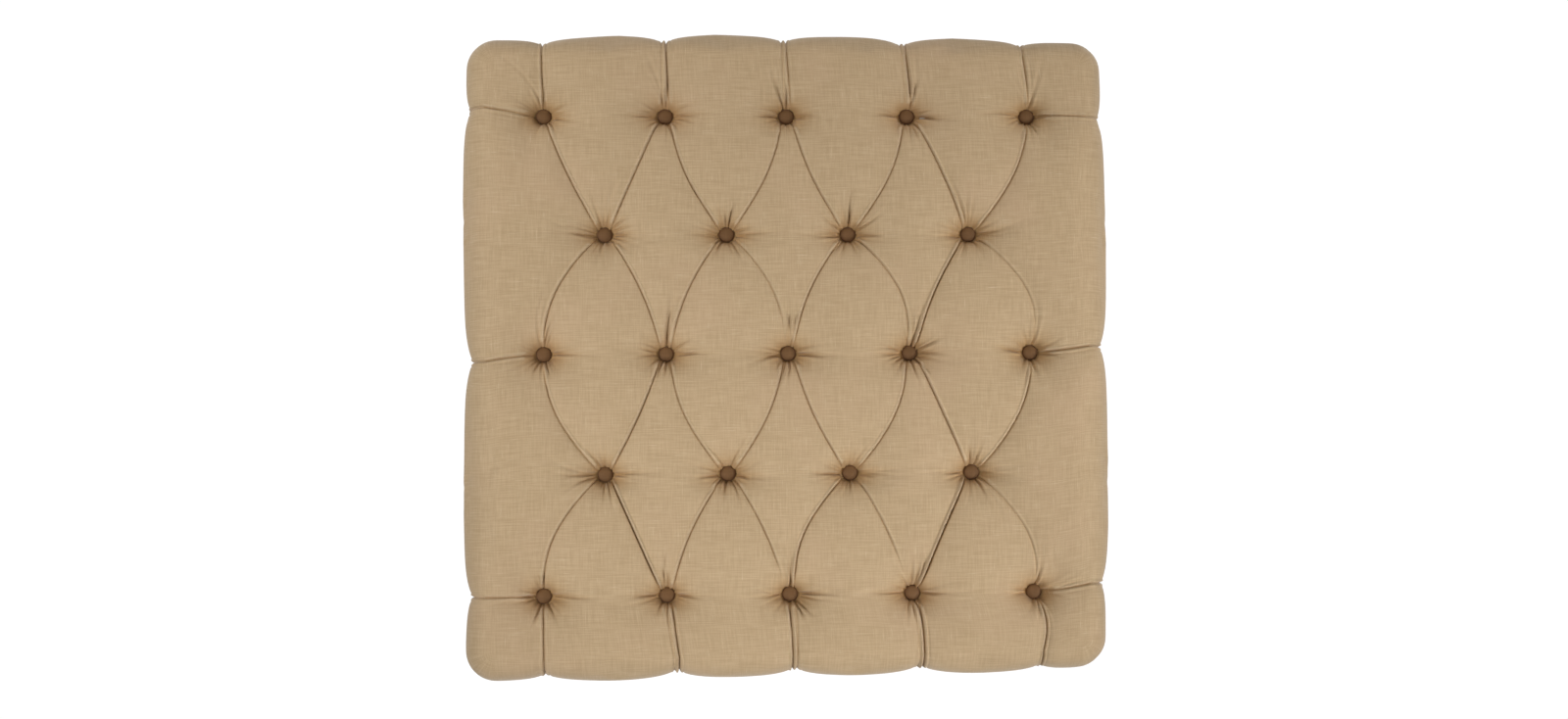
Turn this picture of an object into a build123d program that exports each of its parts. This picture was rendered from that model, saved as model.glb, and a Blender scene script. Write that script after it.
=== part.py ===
from build123d import *
import os

# A square coffee table ottoman: a deep diamond-tufted cloth top that rolls over its edges
# into pleated sides, on a pine box frame with a slatted deck and four tapered round legs.
# Millimetres, +Z up, origin on the floor under the middle, rows of buttons along X.

# Wooden frame
frame_width = 870.0
frame_depth = 870.0
rail_thickness = 22.0
rail_height = 150.0
stretcher_thickness = 22.0
stretcher_height = 60.0
corner_block_leg = 135.0
corner_block_height = 40.0
slat_thickness = 12.0
slat_gap = 10.0

# Legs and their fittings
leg_length = 126.0
leg_top_radius = 26.0
leg_foot_radius = 14.0
leg_collar_height = 9.0
leg_inset = 56.0
glide_radius = 12.0
glide_height = 4.0
glide_nail_width = 2.6
glide_nail_length = 14.0
bolt_radius = 4.0
bolt_depth_in_leg = 38.0
bolt_past_nut = 3.0
nut_width = 13.0
nut_thickness = 6.5
bolt_clearance = 0.5
thread_clearance = 0.1

# Filling
foam_thickness = 75.0
topper_crest = 62.5
side_wadding = 14.6
wadding_clearance = 0.4

# Cloth cover
cover_thickness = 1.5
side_bulge = 6.0
hem_bulge = 3.0
hem_inset = 2.5
hem_width = 22.0
side_belly_height = 70.0
outline_corner_radius = 40.0
roll_width = 36.0
roll_drop = 70.0
edge_crown_drop = 5.0

# Tufting: the margins run from the frame's edges to the outermost buttons
button_margin = 89.0
row_margin = 95.0
buttons_in_long_row = 5
row_count = 5
seat_depth = 37.0
seat_half_width = 12.6
pleat_depth = 14.0
pleat_floor_width = 3.0
edge_pleat_depth = 15.0
edge_pleat_width = 4.0
side_pleat_fullness = 2.0

# Covered buttons, twine and toggles
button_radius = 11.1
button_facets = 12
button_rim = 1.8
button_dome = 2.6
eye_wire = 1.4
eye_width = 9.0
eye_drop = 7.5
twine_width = 2.0
twine_thickness = 0.8
twine_slack = 0.1
toggle_length = 30.0
toggle_width = 5.0
toggle_height = 4.0

# Dust cover and staples
dust_cover_thickness = 0.6
dust_cover_inset = 9.0
dust_cover_leg_clearance = 1.5
staple_wire = 1.1
staple_crown = 11.0
staple_leg = 9.0
frame_staple_crown = 12.0
frame_staple_leg = 32.0
hem_staples_per_side = 3
hem_staple_inset = 15.0
dust_staples_per_side = 3
dust_staple_inset = 13.5
rail_staples_per_corner = 2

# Where the tufted top is sectioned, as shares: from row to row, and from row to edge
between_rows_shares = (0.5,)
to_edge_shares = (0.45, 1.0)
# Face of a button at the top of its dome, as a share of its radius
button_crown_share = 0.58
# Drop at the middle of the panel beside a corner, as a share of the sides' bulge
end_panel_slack_share = 0.25
# Roll of the top edge, as shares of roll_width inwards and of roll_drop under the crest
roll_shares = ((0.0, 1.0), (0.17, 0.5), (1.0, -0.06))
# Each stretcher's place, as a share of the button pitch: midway between two toggles
stretcher_place_share = 0.75

# One overrun for every cut
overrun = 6.0

# Levels, from the floor up
leg_foot_z = glide_height
frame_bottom_z = leg_foot_z + leg_length
hem_bottom_z = frame_bottom_z - cover_thickness
dust_bottom_z = hem_bottom_z - dust_cover_thickness
deck_bottom_z = frame_bottom_z + rail_height
foam_bottom_z = deck_bottom_z + slat_thickness
foam_top_z = foam_bottom_z + foam_thickness
crest_z = foam_top_z + topper_crest + wadding_clearance + cover_thickness
seat_z = crest_z - seat_depth

# Half sizes in plan
side_build_up = side_wadding + wadding_clearance + cover_thickness + side_bulge
half_width = frame_width / 2 + side_build_up
half_depth = frame_depth / 2 + side_build_up
wadding_inset = cover_thickness + wadding_clearance

# Places of the buttons, row by row from the front
button_pitch = (frame_width - 2 * button_margin) / (buttons_in_long_row - 1)
row_pitch = (frame_depth - 2 * row_margin) / (row_count - 1)
row_ys = [(row - (row_count - 1) / 2) * row_pitch for row in range(row_count)]
on_base = (Align.CENTER, Align.CENTER, Align.MIN)


def is_long(row):
    """Long rows come first and last, with a short row between two long ones."""
    return row % 2 == 0


def button_xs(row):
    """Places along X of the buttons in a row."""
    count = buttons_in_long_row if is_long(row) else buttons_in_long_row - 1
    return [(n - (count - 1) / 2) * button_pitch for n in range(count)]


button_places = [(x, y) for row, y in enumerate(row_ys) for x in button_xs(row)]
edge_columns = button_xs(0)
edge_rows = [y for row, y in enumerate(row_ys) if is_long(row)]
leg_places = [
    (sx * (frame_width / 2 - leg_inset), sy * (frame_depth / 2 - leg_inset))
    for sx in (-1, 1)
    for sy in (-1, 1)
]


def pleat_xs(row, half):
    """Where the pleats cross a row: both sides of each seat, half away from its button.

    A short row has two seat sides fewer. There the outermost pleats, which come from the
    end buttons of the long rows, lie just outside the end seats.
    """
    sides = [x + side * half for x in button_xs(row) for side in (-1, 1)]
    if is_long(row):
        return sides
    return [sides[0] - pleat_floor_width, *sides, sides[-1] + pleat_floor_width]


def pleat_xs_between(row, share):
    """Where the pleats cross on their way from a row to the next one."""
    here, there = (pleat_xs(r, seat_half_width) for r in (row, row + 1))
    xs = [a + (b - a) * share for a, b in zip(here, there)]
    xs[0] = xs[1] - pleat_floor_width
    xs[-1] = xs[-2] + pleat_floor_width
    return xs


def arch(start, end, rise):
    """An arc whose middle stands rise above its chord."""
    return ThreePointArc(start, (start + end) / 2 + Vector(0, 0, rise), end).edge()


def top_section(y, xs, depth, inset, base_z, side_valley=False):
    """Outline across X of the tufted top: floors of pleats and seats, crowned panels.

    The pleats lie depth below the crest, and each panel arches up to the crest between
    them. A span as narrow as a seat is a floor. At a side valley, the spans out to the
    side edges sag into a pleat too.
    """
    top = crest_z - inset
    reach = half_width + overrun
    edge_depth = edge_pleat_depth if side_valley else edge_crown_drop
    side_rise = side_pleat_fullness if side_valley else (depth + edge_depth) / 2
    left, right = (Vector(side * reach, y, top - edge_depth) for side in (-1, 1))
    pleats = [Vector(x, y, top - depth) for x in xs]
    widest_floor = 2 * (seat_half_width + inset) + overrun
    edges = [arch(left, pleats[0], side_rise)]
    for a, b in zip(pleats, pleats[1:]):
        is_floor = b.X - a.X < widest_floor
        edges.append(Line(a, b).edge() if is_floor else arch(a, b, depth))
    edges.append(arch(pleats[-1], right, side_rise))
    low_right, low_left = (Vector(side * reach, y, base_z) for side in (1, -1))
    walls = [(right, low_right), (low_right, low_left), (low_left, left)]
    edges += [Line(a, b).edge() for a, b in walls]
    return Wire(edges)


def top_sections(inset, base_z):
    """Sections of the tufted top, from the front edge to the back one."""
    half = seat_half_width + inset
    last = row_count - 1

    def section(y, xs, depth, side_valley=False):
        return top_section(y, xs, depth, inset, base_z, side_valley)

    def border(row, side):
        reach = half_depth + overrun - abs(row_ys[row]) - half
        for share in to_edge_shares:
            y = row_ys[row] + side * (half + reach * share)
            narrowed = half + (edge_pleat_width / 2 - half) * share
            depth = seat_depth + (edge_pleat_depth - seat_depth) * share
            yield section(y, pleat_xs(row, narrowed), depth)

    sections = [*border(0, -1)][::-1]
    for row, y in enumerate(row_ys):
        here = pleat_xs(row, half)
        sections.append(section(y - half, here, seat_depth))
        if is_long(row):
            sections.append(section(y, here, seat_depth, side_valley=True))
        sections.append(section(y + half, here, seat_depth))
        if row < last:
            for share in between_rows_shares:
                xs = pleat_xs_between(row, share)
                sections.append(section(y + row_pitch * share, xs, pleat_depth))
    return sections + [*border(last, 1)]


def side_outline(z, inset, inwards, bulge):
    """Outline of the sides at a level: an arc for each panel between pleats and corners."""
    half_x = half_width - side_bulge - inset - inwards
    half_y = half_depth - side_bulge - inset - inwards
    radius = outline_corner_radius - inset
    flat_x = half_x - radius
    flat_y = half_y - radius
    # How far the middle of a corner, a quarter turn, stays back
    back = (1 - 0.5**0.5) * radius - bulge
    # Each side as its half length, its pleats, and a place from a distance along and out
    sides = [
        (flat_x, edge_columns, lambda s, out: Vector(s, -half_y - out, z)),
        (flat_y, edge_rows, lambda s, out: Vector(half_x + out, s, z)),
        (flat_x, edge_columns, lambda s, out: Vector(-s, half_y + out, z)),
        (flat_y, edge_rows, lambda s, out: Vector(-half_x - out, -s, z)),
    ]
    corners = [(1, -1), (1, 1), (-1, 1), (-1, -1)]
    edges = []
    for n, (reach, pleats, place) in enumerate(sides):
        # Every pleat is drawn in, and the panels and corners between them stand out
        stops = [(-reach, bulge), *((s, 0) for s in pleats), (reach, bulge)]
        for (a, out_a), (b, out_b) in zip(stops, stops[1:]):
            middle = place((a + b) / 2, bulge - (out_a + out_b) * end_panel_slack_share)
            edges.append(ThreePointArc(place(a, out_a), middle, place(b, out_b)).edge())
        next_reach, _, next_place = sides[(n + 1) % len(sides)]
        sx, sy = corners[n]
        middle = Vector(sx * (half_x - back), sy * (half_y - back), z)
        turn = ThreePointArc(place(reach, bulge), middle, next_place(-next_reach, bulge))
        edges.append(turn.edge())
    return Wire(edges)


def pleated_sides(inset, bottom_z, roll):
    """The sides as a drum of outlines from bottom_z up, rolling in over the top edge."""
    belly_z = hem_bottom_z + side_belly_height
    outlines = [
        side_outline(bottom_z, inset, hem_inset, hem_bulge),
        side_outline(belly_z, inset, 0, side_bulge),
    ]
    for inwards, down in roll:
        z = crest_z - inset - roll_drop * down
        outlines.append(side_outline(z, inset, roll_width * inwards, side_bulge))
    return Solid.make_loft(outlines, ruled=True)


def tufted_form(inset, bottom_z, roll=roll_shares):
    """The tufted, pleated form that lies inset inside the face of the cloth."""
    top = Solid.make_loft(top_sections(inset, bottom_z - overrun), ruled=True)
    return top & pleated_sides(inset, bottom_z, roll)


def cover():
    """Cloth cover, hollow, with a hem turned under the frame."""
    outside = tufted_form(0, hem_bottom_z)
    inside = tufted_form(cover_thickness, frame_bottom_z)
    opening = Pos(0, 0, hem_bottom_z - overrun) * Box(
        frame_width - 2 * hem_width,
        frame_depth - 2 * hem_width,
        2 * overrun,
        align=on_base,
    )
    return outside - inside - opening


def wadding():
    """Fibre filling that gives the tufts their crown and wraps down over the rails."""
    bottom_z = frame_bottom_z + wadding_clearance
    form = tufted_form(wadding_inset, bottom_z, roll_shares[::2])
    core = Pos(0, 0, bottom_z - overrun) * Box(
        frame_width, frame_depth, foam_top_z - bottom_z + overrun, align=on_base
    )
    return form - core


def foam_core():
    """Block of foam on the deck."""
    block = Box(frame_width, frame_depth, foam_thickness, align=on_base)
    return Pos(0, 0, foam_bottom_z) * block


def rails():
    """The four rails: front and back run through, left and right butt between them."""
    through = Box(frame_width, rail_thickness, rail_height, align=on_base)
    between = Box(
        rail_thickness, frame_depth - 2 * rail_thickness, rail_height, align=on_base
    )
    x = (frame_width - rail_thickness) / 2
    y = (frame_depth - rail_thickness) / 2
    return {
        "rail_front": Pos(0, -y, frame_bottom_z) * through,
        "rail_back": Pos(0, y, frame_bottom_z) * through,
        "rail_left": Pos(-x, 0, frame_bottom_z) * between,
        "rail_right": Pos(x, 0, frame_bottom_z) * between,
    }


def stretchers():
    """Two stretchers from front to back, with their tops level with the rails."""
    length = frame_depth - 2 * rail_thickness
    bar = Box(stretcher_thickness, length, stretcher_height, align=on_base)
    x = button_pitch * stretcher_place_share
    z = deck_bottom_z - stretcher_height
    return {
        "stretcher_left": Pos(-x, 0, z) * bar,
        "stretcher_right": Pos(x, 0, z) * bar,
    }


def slats():
    """Deck slats along X. The gaps between them lie under the rows of buttons."""
    made = {}
    stops = [-frame_depth / 2 - slat_gap / 2, *row_ys, frame_depth / 2 + slat_gap / 2]
    for n, (a, b) in enumerate(zip(stops, stops[1:]), start=1):
        slat = Box(frame_width, b - a - slat_gap, slat_thickness, align=on_base)
        made[f"deck_slat_{n}"] = Pos(0, (a + b) / 2, deck_bottom_z) * slat
    return made


def corner_blocks():
    """Triangular blocks glued into the corners, each bored for its leg's bolt."""
    inner_x = frame_width / 2 - rail_thickness
    inner_y = frame_depth / 2 - rail_thickness
    bore = Cylinder(
        bolt_radius + bolt_clearance, corner_block_height + 2 * overrun, align=on_base
    )
    blocks = []
    for x, y in leg_places:
        sx, sy = (1 if v > 0 else -1 for v in (x, y))
        corner = Vector(sx * inner_x, sy * inner_y)
        triangle = Polyline(
            corner,
            corner - Vector(sx * corner_block_leg, 0),
            corner - Vector(0, sy * corner_block_leg),
            close=True,
        )
        block = extrude(make_face(triangle), corner_block_height, dir=(0, 0, 1))
        block = Pos(0, 0, frame_bottom_z) * block
        blocks.append(block - Pos(x, y, frame_bottom_z - overrun) * bore)
    return blocks


def leg():
    """Tapered round leg standing on Z zero, with a straight collar at its top."""
    profile = Polyline(
        (0, 0),
        (leg_foot_radius, 0),
        (leg_top_radius, leg_length - leg_collar_height),
        (leg_top_radius, leg_length),
        (0, leg_length),
        close=True,
    )
    return revolve(Plane.XZ * make_face(profile), Axis.Z)


def leg_nut():
    """Square nut for the leg's bolt."""
    block = Box(nut_width, nut_width, nut_thickness, align=on_base)
    return block - Cylinder(bolt_radius + thread_clearance, 2 * (nut_thickness + overrun))


def glide():
    """Nail-on glide: a disc on the floor with a square nail up into the leg."""
    disc = Cylinder(glide_radius, glide_height, align=on_base)
    nail_height = glide_height + glide_nail_length
    return disc + Box(glide_nail_width, glide_nail_width, nail_height, align=on_base)


def legs():
    """The four legs with their glides, hanger bolts and nuts."""
    nut_z = frame_bottom_z + corner_block_height
    bolt_bottom_z = frame_bottom_z - bolt_depth_in_leg
    bolt_top_z = nut_z + nut_thickness + bolt_past_nut
    bolt = Cylinder(bolt_radius, bolt_top_z - bolt_bottom_z, align=on_base)
    made = {}
    for x, y in leg_places:
        name = f"leg_{'front' if y < 0 else 'back'}_{'left' if x < 0 else 'right'}"
        made[name] = Pos(x, y, leg_foot_z) * leg()
    made["leg_glides"] = [Pos(x, y, 0) * glide() for x, y in leg_places]
    made["leg_bolts"] = [Pos(x, y, bolt_bottom_z) * bolt for x, y in leg_places]
    made["leg_nuts"] = [Pos(x, y, nut_z) * leg_nut() for x, y in leg_places]
    return made


def dust_cover():
    """Thin cloth under the frame, cut out square round the legs."""
    sheet = Pos(0, 0, dust_bottom_z) * Box(
        frame_width - 2 * dust_cover_inset,
        frame_depth - 2 * dust_cover_inset,
        dust_cover_thickness,
        align=on_base,
    )
    hole_width = 2 * (leg_top_radius + dust_cover_leg_clearance)
    hole = Box(hole_width, hole_width, 2 * overrun)
    return sheet - [Pos(x, y, dust_bottom_z) * hole for x, y in leg_places]


def staple(crown, leg_height, wire):
    """Square wire bent to a U along X: crown at Z zero, legs up."""
    block = Box(crown, wire, leg_height, align=on_base)
    inside = Box(crown - 2 * wire, wire + overrun, leg_height, align=on_base)
    return block - Pos(0, 0, wire) * inside


def spread(count, length):
    """Evenly spaced places along a length, centred, half a space in from its ends."""
    return [((n + 0.5) / count - 0.5) * length for n in range(count)]


def hem_ring(count, inset, z):
    """Staples along the four sides under the frame, legs up into the rails."""
    made = []
    tack = staple(staple_crown, staple_leg, staple_wire)
    x = frame_width / 2 - inset
    y = frame_depth / 2 - inset
    for side in (-1, 1):
        made += [Pos(s, side * y, z) * tack for s in spread(count, frame_width)]
        made += [Pos(side * x, s, z) * Rot(0, 0, 90) * tack for s in spread(count, frame_depth)]
    return made


def rail_staples():
    """Long staples through the front and back rails into the ends of the side rails."""
    made = []
    tack = staple(frame_staple_crown, frame_staple_leg, staple_wire)
    x = (frame_width - rail_thickness) / 2
    middle_z = frame_bottom_z + rail_height / 2
    for side in (-1, 1):
        for z in (middle_z + s for s in spread(rail_staples_per_corner, rail_height)):
            made.append(Pos(side * x, -frame_depth / 2, z) * Rot(-90, 0, 0) * tack)
            made.append(Pos(side * x, frame_depth / 2, z) * Rot(90, 0, 0) * tack)
    return made


def slat_staples():
    """A long staple through each end of each slat into the side rail below."""
    tack = staple(frame_staple_crown, frame_staple_leg, staple_wire)
    x = (frame_width - rail_thickness) / 2
    turned = Rot(180, 0, 0) * Rot(0, 0, 90) * tack
    middles = [s.center().Y for s in slats().values()]
    return [Pos(side * x, y, foam_bottom_z) * turned for y in middles for side in (-1, 1)]


def button_cap():
    """Cloth-covered button: a flat back at Z zero, a short rim and a domed face."""
    levels = [
        (0, button_radius),
        (button_rim, button_radius),
        (button_rim + button_dome, button_radius * button_crown_share),
    ]
    return loft([Pos(0, 0, z) * RegularPolygon(r, button_facets) for z, r in levels], ruled=True)


def toggle_z():
    """Level of the toggles' underside, against the slats."""
    return deck_bottom_z - toggle_height


def twine():
    """Closed loop of flat twine from under a toggle up through its button's eye."""
    eye_bar_top_z = seat_z - eye_drop + eye_wire
    inner_width = toggle_width + 2 * twine_slack
    inner_bottom = toggle_z() - twine_slack
    inner_top = eye_bar_top_z + twine_slack
    outer = Box(
        inner_width + 2 * twine_thickness,
        twine_width,
        inner_top - inner_bottom + 2 * twine_thickness,
        align=on_base,
    )
    inner = Box(inner_width, twine_width + overrun, inner_top - inner_bottom, align=on_base)
    return Pos(0, 0, inner_bottom - twine_thickness) * outer - Pos(0, 0, inner_bottom) * inner


def buttons():
    """Every button with its wire eye, its loop of twine and the toggle that holds it."""
    cap = button_cap()
    eye = Pos(0, 0, -eye_drop) * Rot(0, 0, 90) * staple(eye_width, eye_drop, eye_wire)
    toggle = Box(toggle_width, toggle_length, toggle_height, align=on_base)
    loop = twine()
    return {
        "button_caps": [Pos(x, y, seat_z) * cap for x, y in button_places],
        "button_eyes": [Pos(x, y, seat_z) * eye for x, y in button_places],
        "tuft_twines": [Pos(x, y, 0) * loop for x, y in button_places],
        "tuft_toggles": [Pos(x, y, toggle_z()) * toggle for x, y in button_places],
    }


def ottoman():
    """Every named piece: one solid each, or a list of alike solids."""
    return {
        **rails(),
        **stretchers(),
        **slats(),
        **legs(),
        **buttons(),
        "corner_blocks": corner_blocks(),
        "rail_staples": rail_staples(),
        "slat_staples": slat_staples(),
        "foam_core": foam_core(),
        "wadding": wadding(),
        "cover": cover(),
        "cover_staples": hem_ring(hem_staples_per_side, hem_staple_inset, hem_bottom_z),
        "dust_cover": dust_cover(),
        "dust_cover_staples": hem_ring(
            dust_staples_per_side, dust_staple_inset, dust_bottom_z - staple_wire
        ),
    }


os.makedirs("parts", exist_ok=True)
for name, piece in ottoman().items():
    shape = Compound(children=piece) if isinstance(piece, list) else piece
    export_step(shape, f"parts/{name}.step")
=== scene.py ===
import bpy
import bmesh
import math
import numpy as np
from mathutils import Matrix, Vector


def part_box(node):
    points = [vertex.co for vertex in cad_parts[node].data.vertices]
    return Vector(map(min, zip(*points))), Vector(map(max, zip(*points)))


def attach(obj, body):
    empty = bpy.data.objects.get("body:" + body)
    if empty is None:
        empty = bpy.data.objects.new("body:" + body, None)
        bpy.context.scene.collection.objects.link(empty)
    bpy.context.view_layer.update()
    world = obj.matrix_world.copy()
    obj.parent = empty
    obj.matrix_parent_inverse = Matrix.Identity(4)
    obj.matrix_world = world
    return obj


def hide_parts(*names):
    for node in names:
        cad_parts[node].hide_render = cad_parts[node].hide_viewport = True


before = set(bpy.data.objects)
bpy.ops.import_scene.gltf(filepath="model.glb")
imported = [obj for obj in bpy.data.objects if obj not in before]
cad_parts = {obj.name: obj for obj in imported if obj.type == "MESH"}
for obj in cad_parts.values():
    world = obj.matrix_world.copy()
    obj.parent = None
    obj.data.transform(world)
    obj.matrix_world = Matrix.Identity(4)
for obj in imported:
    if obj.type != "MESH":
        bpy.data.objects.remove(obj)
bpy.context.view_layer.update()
print("frame loaded")

# Places that every piece takes from the frame
coverLow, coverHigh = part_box("cover")
capLow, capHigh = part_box("button_caps")
foamLow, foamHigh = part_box("foam_core")
buttonRadius = 0.0111
buttonPitch = (capHigh[0] - capLow[0] - 2 * buttonRadius) / 4
rowPitch = (capHigh[1] - capLow[1] - 2 * buttonRadius) / 4
seatLevel = capLow[2]
rowYs = [rowPitch * (row - 2) for row in range(5)]


def buttonXs(row):
    count = 5 if row % 2 == 0 else 4        # rows of five, with a row of four between two
    return [buttonPitch * (n - (count - 1) / 2) for n in range(count)]


buttonPlaces = [(x, y) for row, y in enumerate(rowYs) for x in buttonXs(row)]
outerX, outerY = buttonXs(0)[-1], rowYs[-1]


# Small helpers
def setMode(mode):
    if bpy.context.object and bpy.context.object.mode != mode:
        bpy.ops.object.mode_set(mode=mode)


def deselectAll():
    setMode("OBJECT")
    bpy.ops.object.select_all(action="DESELECT")


def makeActive(piece):
    deselectAll()
    piece.select_set(True)
    bpy.context.view_layer.objects.active = piece


def applyPlace():
    bpy.ops.object.transform_apply(location=True, rotation=True, scale=True)


def applyModifier(piece, kind, **values):
    makeActive(piece)
    modifier = piece.modifiers.new(kind.title(), kind)
    for name, value in values.items():
        setattr(modifier, name, value)
    bpy.ops.object.modifier_apply(modifier=modifier.name)


def selectWhere(piece, kind, test):
    # In edit mode, selects the faces or edges that pass the test, and nothing else
    bpy.ops.mesh.select_mode(type=kind)
    bpy.ops.mesh.select_all(action="DESELECT")
    shape = bmesh.from_edit_mesh(piece.data)
    for part in shape.faces if kind == "FACE" else shape.edges:
        part.select = test(part)
    bmesh.update_edit_mesh(piece.data)


def boxPiece(low, high):
    deselectAll()
    middle = [(a + b) / 2 for a, b in zip(low, high)]
    size = [b - a for a, b in zip(low, high)]
    bpy.ops.mesh.primitive_cube_add(size=1, location=middle, scale=size)
    applyPlace()
    return bpy.context.object


def meshPiece(name, points, faces):
    mesh = bpy.data.meshes.new(name)
    mesh.from_pydata([tuple(p) for p in points], [], [tuple(f) for f in faces])
    mesh.update()
    piece = bpy.data.objects.new(name, mesh)
    bpy.context.scene.collection.objects.link(piece)
    for polygon in mesh.polygons:
        polygon.use_smooth = True
    return piece


def smoothStep(low, high, value):
    t = np.clip((value - low) / (high - low), 0, 1)
    return t * t * (3 - 2 * t)


# Materials. A value is a number, or the output socket of another node
def plug(value, socket):
    if isinstance(value, bpy.types.NodeSocket):
        socket.id_data.links.new(value, socket)
    else:
        socket.default_value = value


def plugAll(values, sockets):
    for value, socket in zip(values, sockets):
        plug(value, socket)


def addNode(tree, kind, **values):
    node = tree.nodes.new(kind)
    for name, value in values.items():
        if name in node.inputs:
            plug(value, node.inputs[name])
        else:
            setattr(node, name, value)
    return node


def mathNode(operation, a, b=0.0):
    node = addNode(a.id_data, "ShaderNodeMath", operation=operation)
    plugAll((a, b), node.inputs)
    return node.outputs[0]


def plus(a, b):
    return mathNode("ADD", a, b)


def times(a, b):
    return mathNode("MULTIPLY", a, b)


def scaled(vector, factor):
    node = addNode(vector.id_data, "ShaderNodeVectorMath", operation="SCALE", Scale=factor)
    plug(vector, node.inputs[0])
    return node.outputs[0]


def noise(vector, scale, detail=2.0, roughness=0.5):
    tree = vector.id_data
    mapping = addNode(tree, "ShaderNodeMapping", Vector=vector, Scale=scale)
    node = addNode(tree, "ShaderNodeTexNoise", Vector=mapping.outputs[0], Scale=1.0, Detail=detail,
                   Roughness=roughness)
    return node.outputs["Fac"]


def ramp(value, low, high):
    node = addNode(value.id_data, "ShaderNodeMapRange", interpolation_type="SMOOTHSTEP", Value=value,
                   **{"From Min": low, "From Max": high})
    return node.outputs["Result"]


def mixColors(mode, factor, a, b):
    tree = next(v.id_data for v in (factor, a, b) if isinstance(v, bpy.types.NodeSocket))
    node = addNode(tree, "ShaderNodeMix", data_type="RGBA", blend_type=mode, clamp_result=False)
    colors = [(*v, 1) if isinstance(v, tuple) else v for v in (a, b)]
    plugAll((factor, *colors), (node.inputs["Factor"], node.inputs[6], node.inputs[7]))
    return node.outputs[2]


def linearColor(red, green, blue):
    # A screen colour, 0 to 255, as the linear one that a shader takes
    share = [v / 255 for v in (red, green, blue)]
    return tuple(v / 12.92 if v <= 0.04045 else ((v + 0.055) / 1.055) ** 2.4 for v in share)


def newMaterial(name, color, roughness):
    material = bpy.data.materials.new(name)
    material.use_nodes = True
    inputs = material.node_tree.nodes["Principled BSDF"].inputs
    inputs["Base Color"].default_value = (*color, 1)
    inputs["Roughness"].default_value = roughness
    return material, material.node_tree, inputs


def placeOf(tree, output="Object"):
    return addNode(tree, "ShaderNodeTexCoord").outputs[output]


def addBump(inputs, height, distance):
    bump = addNode(height.id_data, "ShaderNodeBump", Height=height, Strength=1.0, Distance=distance)
    plug(bump.outputs[0], inputs["Normal"])


def newGroup(name, outputs, **settings):
    # A node group with a place and its settings for inputs: the tree, what it gets, what it makes
    tree = bpy.data.node_groups.new(name, "ShaderNodeTree")
    tree.interface.new_socket(name="Place", in_out="INPUT", socket_type="NodeSocketVector")
    for title, value in settings.items():
        socket = tree.interface.new_socket(name=title, in_out="INPUT", socket_type="NodeSocketFloat")
        socket.default_value = value
    for title in outputs:
        tree.interface.new_socket(name=title, in_out="OUTPUT", socket_type="NodeSocketFloat")
    given = tree.nodes.new("NodeGroupInput").outputs
    made = tree.nodes.new("NodeGroupOutput").inputs
    return tree, [given[title] for title in ("Place", *settings)], made


def groupNode(group, place, **values):
    return addNode(place.id_data, "ShaderNodeGroup", node_tree=group, Place=place, **values).outputs


def slubWeaveGroup():
    # Plain linen weave in metres: a fine grid of threads, and thick slubs along both threads
    tree, (place, thread), made = newGroup("slubWeave", ("Height", "Slub", "Tone"), Thread=0.0009)
    split = addNode(tree, "ShaderNodeSeparateXYZ")
    plug(place, split.inputs[0])
    wobble = times(plus(noise(place, (260, 260, 260), 1.0), -0.5), 0.0009)
    waves = []
    for axis in ("X", "Y"):
        count = mathNode("DIVIDE", plus(split.outputs[axis], wobble), thread)
        waves.append(mathNode("SINE", times(count, math.pi)))
    # Over and under: the product of the two waves is a checker of thread crossings
    weave = times(*waves)
    acrossSlub = ramp(noise(place, (30, 950, 1), 3.0, 0.55), 0.60, 0.80)
    alongSlub = ramp(noise(place, (950, 34, 1), 3.0, 0.55), 0.61, 0.80)
    slub = mathNode("MAXIMUM", acrossSlub, alongSlub)
    height = plus(plus(times(weave, 0.22), 0.5), times(slub, 0.55))
    acrossTone = noise(place, (24, 620, 1), 3.0, 0.6)
    alongTone = noise(place, (620, 26, 1), 3.0, 0.6)
    plugAll((height, slub, plus(times(acrossTone, 0.55), times(alongTone, 0.45))), made)
    return tree


def woodGrainGroup():
    # Long grain along Z, or along another axis that the mapping before it turns to Z
    tree, (place,), made = newGroup("woodGrain", ("Rings", "Pores"))
    moved = addNode(tree, "ShaderNodeVectorMath", operation="ADD")
    plugAll((place, scaled(noise(place, (9, 9, 1.2)), 0.06)), moved.inputs)
    rings = noise(moved.outputs[0], (70, 70, 2.2), 3.0, 0.6)
    pores = ramp(noise(place, (620, 620, 9)), 0.55, 0.72)
    plugAll((rings, pores), made)
    return tree


def wearGroup():
    # Broad patches and small specks, for handling, dust and dull spots
    tree, (place, scale), made = newGroup("wear", ("Patches", "Specks"), Scale=30.0)
    larger = scaled(place, scale)
    specks = ramp(noise(larger, (14, 14, 14), 1.0), 0.6, 0.75)
    plugAll((noise(larger, (1, 1, 1), 3.0), specks), made)
    return tree


slubWeave, woodGrain, wear = slubWeaveGroup(), woodGrainGroup(), wearGroup()
linenLook = {
    "body": linearColor(187, 163, 130),
    "pale": linearColor(216, 198, 170),         # the slubs
    "dark": linearColor(171, 147, 113),
    "warm": linearColor(188, 160, 130),
    "deep": (0.84, 0.69, 0.47),         # painted shade: darkens and browns the cloth down in the wells and folds, and over the rolled edges
    # painted highlight: the paler colour along the folds' lips
    "ridge": linearColor(208, 189, 160),
    "button": (0.30, 0.20, 0.110),      # painted shade: darkens and browns the buttons' cloth, as in the wells' shade
    "thread": 0.0009,
    "relief": 0.00010,
    "sheen": (0.25, 0.45),      # weight and roughness
    "specular": 0.35,
}


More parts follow.
